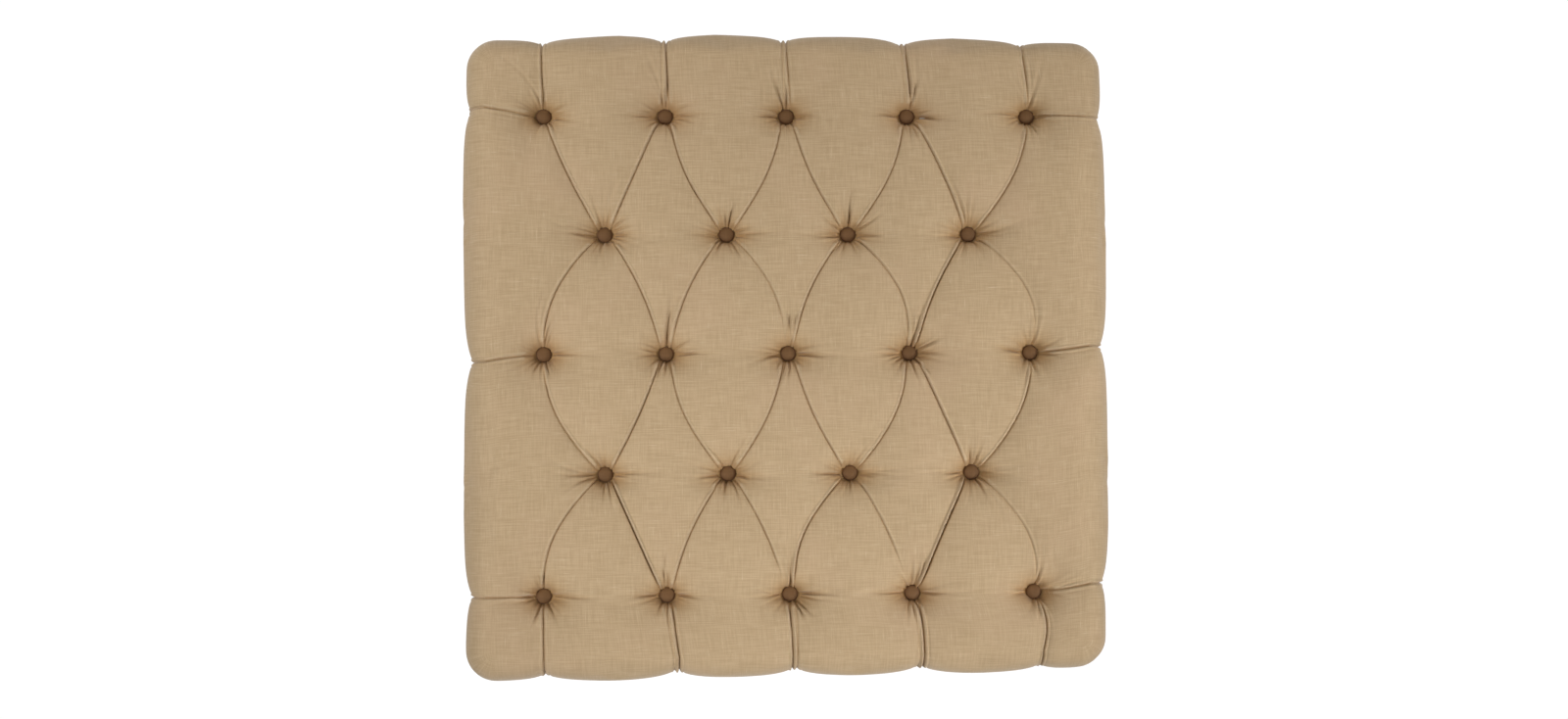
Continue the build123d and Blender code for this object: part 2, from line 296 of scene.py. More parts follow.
def linenMaterial(name, output, slubShare):
    material, tree, inputs = newMaterial(name, linenLook["body"], 0.72)
    place = placeOf(tree, output)
    weave = groupNode(slubWeave, place, Thread=linenLook["thread"])
    color = mixColors("MIX", ramp(weave["Tone"], 0.36, 0.64), linenLook["dark"], linenLook["body"])
    blotch = times(ramp(noise(place, (7, 7, 1), 3.0), 0.45, 0.75), 0.35)
    color = mixColors("MIX", blotch, color, linenLook["warm"])
    color = mixColors("MIX", times(weave["Slub"], slubShare), color, linenLook["pale"])
    if output == "UV":
        # Painted shade: the cloth is darker and browner down in the wells and the folds' lines, and over
        # the rolled edges and down the sides
        hollow = addNode(tree, "ShaderNodeAttribute", attribute_name="hollow").outputs["Fac"]
        color = mixColors("MULTIPLY", times(ramp(hollow, 0.10, 0.90), 0.9), color, linenLook["deep"])
        # and a painted highlight: paler along the folds' lips, where the attribute is less than 0
        color = mixColors("MIX", times(ramp(hollow, 0.0, -1.0), 0.25), color, linenLook["ridge"])
    else:
        # Painted shade: the buttons' cloth darkened and browned all over
        color = mixColors("MULTIPLY", 1.0, color, linenLook["button"])
    plug(color, inputs["Base Color"])
    plugAll(linenLook["sheen"], (inputs["Sheen Weight"], inputs["Sheen Roughness"]))
    plug(linenLook["specular"], inputs["Specular IOR Level"])
    addBump(inputs, weave["Height"], linenLook["relief"])
    return material


def unevenRoughness(inputs, patches, roughness, spread):
    plug(plus(times(patches, spread), roughness - spread / 2), inputs["Roughness"])


def woodMaterial(name, pale, dark, roughness, turn=(0, 0, 0), coat=0.0):
    material, tree, inputs = newMaterial(name, pale, roughness)
    turned = addNode(tree, "ShaderNodeMapping", Vector=placeOf(tree), Rotation=turn)
    grain = groupNode(woodGrain, turned.outputs[0])
    ringed = mixColors("MIX", ramp(grain["Rings"], 0.36, 0.66), pale, dark)
    pored = mixColors("MULTIPLY", times(grain["Pores"], 0.45), ringed, dark)
    plug(pored, inputs["Base Color"])
    worn = groupNode(wear, placeOf(tree), Scale=22.0)
    unevenRoughness(inputs, worn["Patches"], roughness, 0.22)
    plug(coat, inputs["Coat Weight"])
    plug(0.25, inputs["Coat Roughness"])
    addBump(inputs, mathNode("SUBTRACT", grain["Rings"], grain["Pores"]), 0.0002)
    return material


def metalMaterial(name, color, roughness):
    material, tree, inputs = newMaterial(name, color, roughness)
    worn = groupNode(wear, placeOf(tree), Scale=90.0)
    dull = tuple(v * 0.55 for v in color)
    plug(mixColors("MIX", times(worn["Patches"], 0.5), color, dull), inputs["Base Color"])
    plug(1.0, inputs["Metallic"])
    unevenRoughness(inputs, worn["Patches"], roughness, 0.3)
    addBump(inputs, worn["Specks"], 0.00005)
    return material


def fibreMaterial(name, color, scale, roughness=0.9, depth=0.0004):
    # Tangled fibre or foam cells
    material, tree, inputs = newMaterial(name, color, roughness)
    place = placeOf(tree)
    tangle = noise(place, (scale, scale, scale), 4.0, 0.7)
    shaded = mixColors("MIX", ramp(tangle, 0.3, 0.7), tuple(v * 0.72 for v in color), color)
    dusty = times(groupNode(wear, place, Scale=18.0)["Patches"], 0.25)
    plug(mixColors("MULTIPLY", dusty, shaded, (0.9, 0.8, 0.6)), inputs["Base Color"])
    addBump(inputs, tangle, depth)
    return material


def dustClothMaterial():
    # Black spun cloth: pressed fibres with a grid of small bonded dots
    black, grey = (0.018, 0.018, 0.019), (0.06, 0.06, 0.062)
    material, tree, inputs = newMaterial("dustCloth", black, 0.85)
    place = placeOf(tree)
    fibres = noise(place, (900, 900, 60), 4.0, 0.75)
    dots = addNode(tree, "ShaderNodeTexVoronoi", Vector=place, Scale=650.0, Randomness=0.15)
    plug(mixColors("MIX", fibres, black, grey), inputs["Base Color"])
    addBump(inputs, plus(fibres, ramp(dots.outputs["Distance"], 0.15, 0.4)), 0.0001)
    return material


linen = linenMaterial("linen", "UV", 0.75)
linenButton = linenMaterial("linenButton", "Object", 0.4)
stainedWood = woodMaterial("stainedWood", linearColor(82, 52, 33), linearColor(44, 26, 16), 0.42,
                           coat=0.35)
pine = linearColor(222, 188, 140), linearColor(190, 142, 88)
pineAlongX = woodMaterial("pineAlongX", *pine, 0.62, turn=(0, math.pi / 2, 0))
pineAlongY = woodMaterial("pineAlongY", *pine, 0.62, turn=(math.pi / 2, 0, 0))
blockWood = woodMaterial("blockWood", linearColor(214, 180, 134), linearColor(182, 136, 86), 0.66)
zincSteel = metalMaterial("zincSteel", (0.62, 0.63, 0.65), 0.38)
stapleWire = metalMaterial("stapleWire", (0.55, 0.54, 0.5), 0.42)
fibreFill = fibreMaterial("fibreFill", (0.82, 0.81, 0.78), 420)
foamCells = fibreMaterial("foamCells", (0.84, 0.78, 0.58), 900, depth=0.0003)
twineFibre = fibreMaterial("twineFibre", (0.66, 0.58, 0.44), 1600, depth=0.0002)
glidePlastic = fibreMaterial("glidePlastic", (0.045, 0.036, 0.03), 240, 0.5, 0.00005)
dustCloth = dustClothMaterial()
print("materials made")


# The tufted cover
coverLook = {
    "crest": 0.4314,            # level of the panels' crowns
    "patchInset": 0.030,        # from the sides inwards, where the top ends and the sides begin
    "cornerRadius": 0.042,
    "rollWidth": 0.034,
    "rollDrop": 0.046,
    "seatRadius": 0.0105,       # the cloth lies on the well's floor under a button
    "wellRadius": 0.0112,
    "wellShares": (0.26, 0.74),         # of its depth: the steep wall, and the funnel round it
    "wellReaches": (0.0038, 0.0185),
    "wellStretch": 0.80,        # less than 1 makes the funnel longer along the rows
    "foldEnd": (0.62, 0.010),   # where valleys drop to at a well: share of its depth, and radius
    "foldDepth": 0.0060,        # valley of a fold, midway between two buttons
    "foldReach": 0.015,         # how far a valley spreads into the panels
    "foldDrop": 0.013,          # how far from a well a valley begins to drop into it
    "sideFoldDepth": 0.0080,    # the same three, for the folds over the edge
    "sideFoldReach": 0.014,
    "sideFoldDrop": 0.016,
    "melt": 0.0020,             # how softly two hollows meet
    "groove": (0.0023, -0.0006, 0.0009),        # a fold's line: depth, place across, and width
    "lip": (0.0023, 0.0024, 0.0016),            # the folded edge beside it: height and the same
    "secondFold": (0.0065, 0.4),        # beside each edge fold: how far, and how strong
    "sideBulge": 0.006,
    "sidePanel": 0.030,         # how far from a pleat a side panel is full
    "sideGroove": (0.0040, 0.010),      # soft hollow of a pleat down the side: depth and reach
    "fadeHeight": 0.22,         # over the hem, above which the pleats have their full depth
    "hemInset": 0.0025,
    "hemTaper": 0.075,          # over the hem, where the sides begin to draw in
    "hemTurn": 0.004,           # radius of the turned lower edge
    "hemWidth": 0.022,
    "pinch": 0.0055,            # half the gap between two folds where they meet at a button
    "edgePinch": 0.0034,        # the same, where they run over the edge
    "edgeShade": 0.20,           # painted shade: how much browner the cloth is over the rolled edges and down the sides
    "grooveShade": 0.85,         # and painted shade down in the folds' lines
    "seed": 7,
}
clothLook = {
    "steps": 122,               # squares of the simulated cloth's mesh, across the top
    "ringStep": 2,              # it has every second one of the sides' rings
    "holdRadius": 0.020,        # round each button, where it can't move
    "foldHold": (0.85, 0.0045),         # how firmly the folds hold it, and how far
    "growth": 0.004,            # how much larger it is cut than the form under it
    "mass": 0.3,
    "stiffness": 20,
    "bending": 3,
    "pressure": 4.0,
    "quality": 5,
    "frames": 20,
    "mostMove": 0.005,          # metres that a point may move
}
gatherLook = {
    # Round a button: direction and spread in degrees, how many, height, and length
    "lobes": [(0, 12, 5, 0.0044, 0.040), (180, 12, 5, 0.0044, 0.040), (270, 24, 6, 0.0044, 0.030),
              (90, 15, 4, 0.0042, 0.064), (225, 14, 1, 0.0032, 0.024), (315, 14, 1, 0.0032, 0.024)],
    "start": 0.011,             # how far from the button's middle they begin
    "widths": (0.0010, 0.0018),         # where they begin
    "widening": 0.025,          # for each metre of their length
    "bend": 3.5,
    "farthest": 0.11,           # from the button, beyond which they aren't worked out
}
creaseLook = {"depth": 0.0105, "length": 0.042, "bend": 1.5, "softSide": 0.016, "crispSide": 0.0022}

# How far each fold bows out from a straight line, as shares of its width, band by band from the
# front and fold by fold from the left
bowShares = [
    [0.30, 0.00, 0.15, 0.12, 0.33, 0.10, 0.03, 0.35],
    [0.27, 0.08, 0.25, 0.19, 0.14, 0.27, 0.00, 0.25],
    [0.28, 0.13, 0.18, 0.30, 0.19, 0.38, 0.13, 0.42],
    [0.07, 0.00, 0.20, 0.19, 0.15, 0.22, -0.05, 0.22],
]
# How deep and crisp each fold is, as shares of a full one
foldShares = [
    [0.9, 1.7, 1.0, 0.8, 1.1, 0.7, 2.0, 0.5],
    [0.9, 1.2, 0.8, 0.9, 0.9, 0.9, 1.1, 1.0],
    [0.9, 0.9, 0.9, 0.6, 1.0, 0.7, 1.5, 0.5],
    [1.0, 1.0, 1.0, 0.9, 0.9, 0.9, 1.0, 1.0],
]
# How crisp the pleats over the edges are: eight at the front and back, three at the sides
pleatShares = {
    "front": [0.9, 0.35, 1.1, 1.0, 0.4, 0.35, 1.2, 1.1],
    "back": [0.9, 0.3, 0.9, 0.35, 0.8, 0.3, 0.8, 0.8],
    "left": [0.8, 1.0, 0.9],
    "right": [0.9, 1.0, 0.8],
}
# Where a fold's line begins to fade on its way to a row of five, as shares of its length
fadeShares = {(0, 3): 0.62, (0, 5): 0.55, (0, 7): 0.65, (2, 3): 0.6, (2, 7): 0.5}
fadeLength = 0.3
# How far the edge folds sway on their way out, from corner to corner: along X at the front and
# back, along Y at the sides
edgeSways = {
    "front": [0, 0.001, 0.013, 0.005, 0.010, 0.008, 0],
    "back": [0, -0.002, -0.002, -0.004, -0.007, -0.009, 0],
    "left": [0, 0.000, -0.010, 0.010, 0],
    "right": [0, 0.012, 0.008, -0.003, 0],
}
# The same folds' bows midway, at the front
edgeBows = [0, 0.000, 0.001, 0.002, 0.003, 0.010, 0]
# How far the outline lies inside the square, in the same order
edgeInsets = {
    "front": [0.000, 0.000, 0.002, 0.004, 0.005, 0.006, 0.011],
    "back": [0.007, 0.005, 0.000, 0.000, 0.004, 0.006, 0.010],
    "left": [0.003, 0.003, 0.003, 0.000, 0.003],
    "right": [0.010, 0.006, 0.002, 0.001, 0.005],
}
# Single wrinkles: two ends in metres, and the depth
strayWrinkles = [
    (-0.318, 0.232, -0.290, 0.236, 0.00234), (-0.190, 0.238, -0.128, 0.228, 0.00108),
    (-0.016, 0.226, 0.030, 0.218, 0.00162), (-0.020, 0.233, 0.014, 0.231, -0.00144),
    (0.285, -0.200, 0.308, -0.275, 0.00234), (0.275, -0.192, 0.290, -0.215, 0.00180),
    (-0.375, 0.060, -0.330, 0.064, -0.00108), (-0.395, 0.268, -0.362, 0.272, -0.00108),
    (0.170, 0.036, 0.215, 0.040, -0.00126), (0.360, -0.060, 0.405, -0.052, 0.00108),
]
wrinkleWidth, wrinkleBend = 0.0028, 0.002

gridLook = {
    "borderSteps": 46,          # mesh rows and columns from the outer buttons to the edge
    "borderPower": 1.45,        # how much closer together they are at both ends
    "evenUnder": 0.11,          # narrower than this, a panel's columns are more evenly spaced
    "rollSteps": 18,
    "sideSteps": 18,
    "turnSteps": 4,             # round the turned lower edge
    "hemSteps": 8,              # the same with the cloth turned under
}
# Mesh lines beside a fold or a row, as shares of half a panel: close round the wells
halfPanelShares = [0, 0.006, 0.013, 0.021, 0.030, 0.041, 0.054, 0.068, 0.083, 0.099, 0.116, 0.134,
                   0.153, 0.174, 0.197, 0.223, 0.254, 0.292, 0.340, 0.40, 0.48, 0.58, 0.70, 0.85, 1]


def gradedShares(count, power):
    # Shares from 0 to 1, closer together at both ends
    t = np.linspace(0, 1, count + 1)
    low = 0.5 * (2 * np.minimum(t, 1 - t)) ** power
    return np.where(t < 0.5, low, 1 - low)


def borderShares():
    return gradedShares(gridLook["borderSteps"], gridLook["borderPower"])


def panelShares():
    half = np.array(halfPanelShares) / 2
    return np.concatenate([half, 1 - half[-2::-1]])


def foldFeet(row):
    # Where the eight folds cross a row of buttons
    pinch = coverLook["pinch"]
    xs = buttonXs(row)
    if row % 2 == 0:
        return np.array([xs[0]] + [x + s * pinch for x in xs[1:-1] for s in (-1, 1)] + [xs[-1]])
    return np.array([x + s * pinch for x in xs for s in (-1, 1)])


def foldXs(band, share):
    # Where they cross at a share of the way from row band to the next
    short, long = (band, band + 1) if band % 2 else (band + 1, band)
    fromShort = share if band % 2 else 1 - share
    bowed = fromShort + np.array(bowShares[band]) * math.sin(math.pi * fromShort)
    return foldFeet(short) + (foldFeet(long) - foldFeet(short)) * bowed


halfWidth, halfDepth = coverHigh[0], coverHigh[1]
patchX, patchY = halfWidth - coverLook["patchInset"], halfDepth - coverLook["patchInset"]
flatX, flatY = halfWidth - coverLook["cornerRadius"], halfDepth - coverLook["cornerRadius"]
sideFoldYs = [rowYs[0], rowYs[2], rowYs[4]]
xStops, yStops = [-patchX, *buttonXs(0), patchX], [-patchY, *sideFoldYs, patchY]
wellDepth = coverLook["crest"] - seatLevel


def borderXs(share):
    # The folds' places from a row of five out to the edge, where each pair lies close
    xs = buttonXs(0)
    middles = np.array([xs[0], *(x for x in xs[1:-1] for _ in (0, 1)), xs[-1]])
    narrow = coverLook["edgePinch"] / coverLook["pinch"]
    return middles + (foldFeet(0) - middles) * (1 + (narrow - 1) * share ** 0.6)


def topLines():
    # Every mesh row of the top as its y and its folds' places
    border = borderShares()
    lines = [(-outerY - (patchY - outerY) * s, borderXs(s)) for s in border[:0:-1]]
    for band in range(4):
        for share in panelShares()[:-1]:
            lines.append((rowYs[band] + rowPitch * share, foldXs(band, share)))
    lines += [(outerY + (patchY - outerY) * s, borderXs(s)) for s in border]
    return lines


def topPattern():
    # Flat places of the top's mesh, as arrays of x and y
    across = panelShares()
    even = np.linspace(0, 1, len(across))
    outwards = borderShares()
    xs, ys = [], []
    for y, folds in topLines():
        line = list(folds[0] - (patchX + folds[0]) * outwards[::-1])
        for a, b in zip(folds, folds[1:]):
            close = min((b - a) / gridLook["evenUnder"], 1)
            line += list(a + (b - a) * (across * close + even * (1 - close))[1:])
        line += list(folds[-1] + (patchX - folds[-1]) * outwards[1:])
        xs.append(line)
        ys.append([y] * len(line))
    return np.array(xs), np.array(ys)


def outShares(x, y):
    # How far out a place lies on its way from the outer buttons to the pattern's edge
    return (np.clip((np.abs(x) - outerX) / (patchX - outerX), 0, 1),
            np.clip((np.abs(y) - outerY) / (patchY - outerY), 0, 1))


def sideValues(table, x, y):
    # A table's values there, for the side at the left or right, and for the front or back
    left, right = (np.interp(y, yStops, table[side]) for side in ("left", "right"))
    front, back = (np.interp(x, xStops, table[side]) for side in ("front", "back"))
    return np.where(x < 0, left, right), np.where(y < 0, front, back)


def sway(x, y):
    # The edge folds aren't straight: the flat pattern's places bent by their sways
    shareX, shareY = outShares(x, y)
    outX, outY = shareX ** 1.4, shareY ** 1.4
    alongSide, alongFront = sideValues(edgeSways, x, y)
    bow = np.interp(x, xStops, edgeBows) * np.sin(np.pi * shareY) * (y < 0)
    dx, dy = alongFront * outY + bow, alongSide * outX
    inCorner = (np.abs(x) > outerX) & (np.abs(y) > outerY)
    return x + dx * np.where(inCorner, 1 - outX, 1), y + dy * np.where(inCorner, 1 - outY, 1)


def insetAt(x, y):
    # How far the worked outline lies inside the square there, along X and along Y
    shareX, shareY = outShares(x, y)
    atSide, atFront = sideValues(edgeInsets, x, y)
    return np.sign(x) * (atSide * shareX), np.sign(y) * (atFront * shareY)


def roundedPlace(x, y, radius):
    # The square pattern's place on a plan whose corners have the given radius
    a = np.clip((np.abs(x) - flatX) / (patchX - flatX), 0, None)
    b = np.clip((np.abs(y) - flatY) / (patchY - flatY), 0, None)
    turn = np.where(b <= a, b / np.maximum(a, 1e-9), 2 - a / np.maximum(b, 1e-9)) * math.pi / 4
    reach = radius * np.maximum(a, b)
    inCorner = (a > 0) & (b > 0)
    roundX = np.where(inCorner, flatX + reach * np.cos(turn), np.minimum(np.abs(x), flatX) + radius * a)
    roundY = np.where(inCorner, flatY + reach * np.sin(turn), np.minimum(np.abs(y), flatY) + radius * b)
    return np.sign(x) * roundX, np.sign(y) * roundY


def inwardsAt(x, y):
    # How far a place lies inside the outline with its round corners
    outX, outY = np.abs(x) - flatX, np.abs(y) - flatY
    most = np.maximum(outX, outY)
    out = np.where(most > 0, np.hypot(np.clip(outX, 0, None), np.clip(outY, 0, None)), most)
    return coverLook["cornerRadius"] - out


def crownLevel(x, y):
    # The level of the full crown, which rolls over at the edges
    width = coverLook["rollWidth"]
    share = np.clip((width - inwardsAt(x, y)) / width, 0, 1)
    return coverLook["crest"] - coverLook["rollDrop"] * (1 - np.sqrt(1 - share ** 2))


def fromButtons(x, y):
    # How far the nearest button's middle is
    return np.array([np.hypot(x - bx, y - by) for bx, by in buttonPlaces]).min(axis=0)


def gapToRun(x, y, points):
    # From each place to a run of short straight pieces: the distance, less than 0 on the run's
    # right, and the share along the run
    best = np.full(x.shape, 1e9)
    along = np.zeros(x.shape)
    count = len(points) - 1
    for n, ((ax, ay), (bx, by)) in enumerate(zip(points, points[1:])):
        dx, dy = bx - ax, by - ay
        t = np.clip(((x - ax) * dx + (y - ay) * dy) / (dx * dx + dy * dy), 0, 1)
        gapX, gapY = x - ax - t * dx, y - ay - t * dy
        gap = np.hypot(gapX, gapY) * np.where(dx * gapY < dy * gapX, -1, 1)
        nearer = np.abs(gap) < np.abs(best)
        best = np.where(nearer, gap, best)
        along = np.where(nearer, (n + t) / count, along)
    return best, along


def foldRuns():
    # Each fold between two buttons, as points from front to back
    shares = np.linspace(0, 1, 17)
    for band in range(4):
        rows = [foldXs(band, share) for share in shares]
        for k in range(8):
            yield band, k, [(xs[k], rowYs[band] + rowPitch * s) for xs, s in zip(rows, shares)]


def borderRuns():
    # Each fold from an outer button over the edge: points, strength, side of the upper cloth
    pastEdge = 0.1
    for side, name in ((-1, "front"), (1, "back")):
        for k in range(8):
            points = [(borderXs(s)[k], side * (outerY + (patchY - outerY) * s))
                      for s in (0, 0.15, 0.4, 1)]
            points.append((borderXs(1)[k], side * (patchY + pastEdge)))
            yield points, pleatShares[name][k], side
    for side, name in ((-1, "left"), (1, "right")):
        for y, strength in zip(sideFoldYs, pleatShares[name]):
            yield [(side * foldFeet(0)[-1], y), (side * (patchX + pastEdge), y)], strength, side


def foldProfile(gap, size):
    # Across a fold, with its upper cloth at positive gaps: the line's groove and the folded lip
    groove, lip = (depth * np.exp(-((gap - place) / width) ** 2)
                   for depth, place, width in (coverLook["groove"], coverLook["lip"]))
    return (groove - lip) * size


def deepened(valley, fromButton, reach):
    # A fold's valley drops into the well at its button
    share, radius = coverLook["foldEnd"]
    return valley + (wellDepth * share - valley) * np.exp(-np.clip(fromButton - radius, 0, None) / reach)


def sinkAt(x, y):
    # How far the cloth lies under the crown: wells at the buttons, valleys at the folds
    look = coverLook
    melt = look["melt"]
    farthest = 0.06             # how far past its two rows a fold's valley is worked out
    slant = 1.12                # a fold's length, against the row pitch
    (wall, funnel), (wallReach, funnelReach) = look["wellShares"], look["wellReaches"]
    total = np.ones(x.shape)
    for bx, by in buttonPlaces:
        out = np.clip(np.hypot(x - bx, y - by) - look["wellRadius"], 0, None)
        share = wall * np.exp(-(out / wallReach) ** 1.6)
        wide = np.hypot((x - bx) * look["wellStretch"], y - by)
        wide = np.clip(wide - look["wellRadius"], 0, None)
        share = share + funnel * np.exp(-wide / funnelReach)
        total += np.exp(wellDepth * share / melt) - 1
    for band, k, points in foldRuns():
        near = (y > rowYs[band] - farthest) & (y < rowYs[band + 1] + farthest)
        gap, along = gapToRun(x[near], y[near], points)
        ends = np.minimum(along, 1 - along) * rowPitch * slant
        valley = deepened(look["foldDepth"] * foldShares[band][k] ** 0.5, ends, look["foldDrop"])
        total[near] += np.exp(valley * np.exp(-np.abs(gap) / look["foldReach"]) / melt) - 1
    for points, strength, _ in borderRuns():
        gap, _ = gapToRun(x, y, points)
        out = np.hypot(x - points[0][0], y - points[0][1])
        valley = deepened(look["sideFoldDepth"] * strength ** 0.5, out, look["sideFoldDrop"])
        total += np.exp(valley * np.exp(-np.abs(gap) / look["sideFoldReach"]) / melt) - 1
    return np.minimum(melt * np.log(total), wellDepth)


def foldDetail(x, y):
    # The folds' lines with their lips
    sink = np.zeros(x.shape)
    for band, k, points in foldRuns():
        near = (y >= rowYs[band] - 1e-6) & (y <= rowYs[band + 1] + 1e-6)
        gap, along = gapToRun(x[near], y[near], points)
        upper = 1 if points[-1][0] > points[0][0] else -1
        toLong = along if band % 2 else 1 - along
        fadeAt = fadeShares.get((band, k), 2)
        fade = 1 - smoothStep(fadeAt, fadeAt + fadeLength, toLong)
        sink[near] += foldProfile(gap * upper, foldShares[band][k]) * fade
    apart, weaker = coverLook["secondFold"]
    for points, strength, upper in borderRuns():
        gap, _ = gapToRun(x, y, points)
        far = np.hypot(x - points[0][0], y - points[0][1])
        sink += foldProfile(gap * upper, strength) * smoothStep(0, 0.012, far)
        sink += foldProfile(gap * upper + apart, weaker * strength) * smoothStep(0.01, 0.03, far)
    return sink


def gatherDetail(x, y):
    # Gathers that radiate from each button
    look = gatherLook
    dice = np.random.default_rng(coverLook["seed"])
    sink = np.zeros(x.shape)
    for bx, by in buttonPlaces:
        near = np.hypot(x - bx, y - by) < look["farthest"]
        nx, ny = x[near] - bx, y[near] - by
        part = np.zeros(nx.shape)
        for middle, spread, count, size, longest in look["lobes"]:
            for _ in range(count):
                angle = math.radians(middle + dice.normal(0, spread))
                length = dice.uniform(0.45, 1) * longest
                height = dice.uniform(0.35, 1) * size
                width = dice.uniform(*look["widths"])
                bend = dice.normal(0, look["bend"])
                out = nx * math.cos(angle) + ny * math.sin(angle)
                past = out - look["start"]
                across = -nx * math.sin(angle) + ny * math.cos(angle) - bend * past ** 2
                past = np.clip(past, 0, None)
                widened = width + look["widening"] * past
                fade = np.exp(-(past / length) ** 1.6) * (out > 0.004)
                ripple = np.exp(-(across / widened) ** 2)
                ripple = ripple - 0.45 * np.exp(-((np.abs(across) - 2 * widened) / widened) ** 2)
                part += height * ripple * fade
        sink[near] += part
    return sink


def creaseDetail(x, y):
    # To each side of a button the panel in front tucks under the one behind, in a soft crease
    look = creaseLook
    dice = np.random.default_rng(coverLook["seed"] + 1)
    sink = np.zeros(x.shape)
    for bx, by in buttonPlaces:
        for side in (-1, 1):
            depth = dice.uniform(0.6, 1) * look["depth"]
            length = dice.uniform(0.7, 1.2) * look["length"]
            bend = dice.normal(0, look["bend"])
            out = (x - bx) * side
            across = y - by - bend * out ** 2
            shape = np.where(across < 0, np.exp(across / look["softSide"]),
                             np.exp(-across / look["crispSide"]))
            past = np.clip(out - gatherLook["start"], 0, None)
            sink += depth * shape * (np.exp(-(past / length) ** 1.5) * smoothStep(0, 0.012, out))
    return sink


def strayDetail(x, y):
    sink = np.zeros(x.shape)
    for ax, ay, bx, by, depth in strayWrinkles:
        middle = (ax + bx) / 2, (ay + by) / 2 + wrinkleBend
        gap, along = gapToRun(x, y, [(ax, ay), middle, (bx, by)])
        sink += depth * np.exp(-(gap / wrinkleWidth) ** 2) * np.sin(np.pi * along) ** 0.7
    return sink


def perimeter(rows, columns):
    # Rows and columns of the edge points of a grid, once round from the front left corner
    order = [(0, c) for c in range(columns - 1)]
    order += [(r, columns - 1) for r in range(rows - 1)]
    order += [(rows - 1, c) for c in range(columns - 1, 0, -1)]
    order += [(r, 0) for r in range(rows - 1, 0, -1)]
    return tuple(zip(*order))


def sideLevels():
    # The sides' rings below the top: share of the roll's turn, inwards reach, and level
    look, steps = coverLook, gridLook
    startAngle = math.acos((look["rollWidth"] - look["patchInset"]) / look["rollWidth"])
    levels = []
    for share in np.linspace(0, 1, steps["rollSteps"] + 1)[1:]:
        angle = startAngle * (1 - share)
        levels.append((share, look["rollWidth"] * (1 - math.cos(angle)),
                       look["crest"] - look["rollDrop"] * (1 - math.sin(angle))))
    sideTop = look["crest"] - look["rollDrop"]
    sideEnd = coverLow[2] + look["hemTurn"]
    for share in np.linspace(0, 1, steps["sideSteps"] + 1)[1:]:
        levels.append((1.0, 0.0, sideTop + (sideEnd - sideTop) * share))
    turnSteps, hemSteps = steps["turnSteps"], steps["hemSteps"]
    for n in range(1, hemSteps + 1):
        turn = min(n / turnSteps, 1) * math.pi / 2
        reach = look["hemTurn"] * (1 - math.cos(turn))
        tucked = max(n - turnSteps, 0) / (hemSteps - turnSteps)
        reach += tucked * (look["hemWidth"] - look["hemTurn"])
        levels.append((1.0, reach, sideEnd - look["hemTurn"] * math.sin(turn)))
    return levels


def fullShare(z):
    # From 0 at the hem to 1 where the pleats have their full depth
    return float(smoothStep(coverLow[2], coverLow[2] + coverLook["fadeHeight"], z))


def sideSink(edge, z, detailed):
    # Scallops of the panels and grooves of the folds on the sides, at the pattern's edge places
    x, y = edge
    high = fullShare(z)
    groove, reach = coverLook["sideGroove"]
    apart, weaker = coverLook["secondFold"]
    sink = np.zeros(x.shape)
    for points, strength, upper in borderRuns():
        ax, ay = points[-1]
        sideways = ay == points[0][1]
        onFace = np.abs(x) >= patchX - 1e-6 if sideways else np.abs(y) >= patchY - 1e-6
        onFace = onFace & ((x * ax > 0) if sideways else (y * ay > 0))
        gap = np.where(onFace, (y - ay) * upper if sideways else (ax - x) * upper, 9)
        scallop = coverLook["sideBulge"] * (0.35 + 0.65 * high)
        scallop = scallop * np.exp(-(np.abs(gap) / coverLook["sidePanel"]) ** 1.2)
        scallop += groove * np.exp(-np.abs(gap) / reach)
        sink = np.maximum(sink, scallop)
        if detailed:
            size = strength * (0.25 + 0.75 * high)
            sink = sink + foldProfile(gap * upper, size)
            sink = sink + foldProfile(gap * upper + apart, weaker * size)
    return sink


def coverForm(x, y, levels, detailed=False, inset=0.0, sideInset=0.0):
    # The cover's form at the pattern's places: the top's grid, then the rings of the sides
    sink = sinkAt(x, y)
    if detailed:
        sink = sink + foldDetail(x, y) + gatherDetail(x, y) + creaseDetail(x, y) + strayDetail(x, y)
        sink = np.minimum(sink, wellDepth)
    sink = np.where(fromButtons(x, y) < coverLook["seatRadius"], wellDepth, sink) + inset
    swayed = sway(x, y)
    px, py = roundedPlace(*swayed, coverLook["cornerRadius"] - coverLook["patchInset"])
    insetX, insetY = insetAt(x, y)
    top = np.stack([px - insetX, py - insetY, crownLevel(px, py) - sink], axis=-1)
    around = perimeter(*x.shape)
    edge = x[around], y[around]
    swayed = swayed[0][around], swayed[1][around]
    insetX, insetY, edgeSink = insetX[around], insetY[around], sink[around]
    rings = []
    for share, reach, z in levels:
        taper = float(smoothStep(coverLow[2] + coverLook["hemTaper"], coverLow[2], z))
        reach = reach + coverLook["hemInset"] * taper
        ringX, ringY = roundedPlace(*swayed, coverLook["cornerRadius"] - reach)
        # The cloth's sink turns from downwards to inwards over the roll
        turn, turned = math.pi / 2 * share, float(smoothStep(0, 1, share))
        amount = edgeSink * (1 - turned) + (sideSink(edge, z, detailed) + sideInset) * turned
        outX, outY = ringX - np.clip(ringX, -flatX, flatX), ringY - np.clip(ringY, -flatY, flatY)
        length = np.maximum(np.hypot(outX, outY), 1e-9)
        inwards = amount * math.sin(turn)
        kept = 0.25 + 0.75 * fullShare(z)
        rings.append(np.stack([ringX - outX / length * inwards - insetX * kept,
                               ringY - outY / length * inwards - insetY * kept,
                               z - amount * math.cos(turn)], axis=-1))
    return top, np.array(rings)


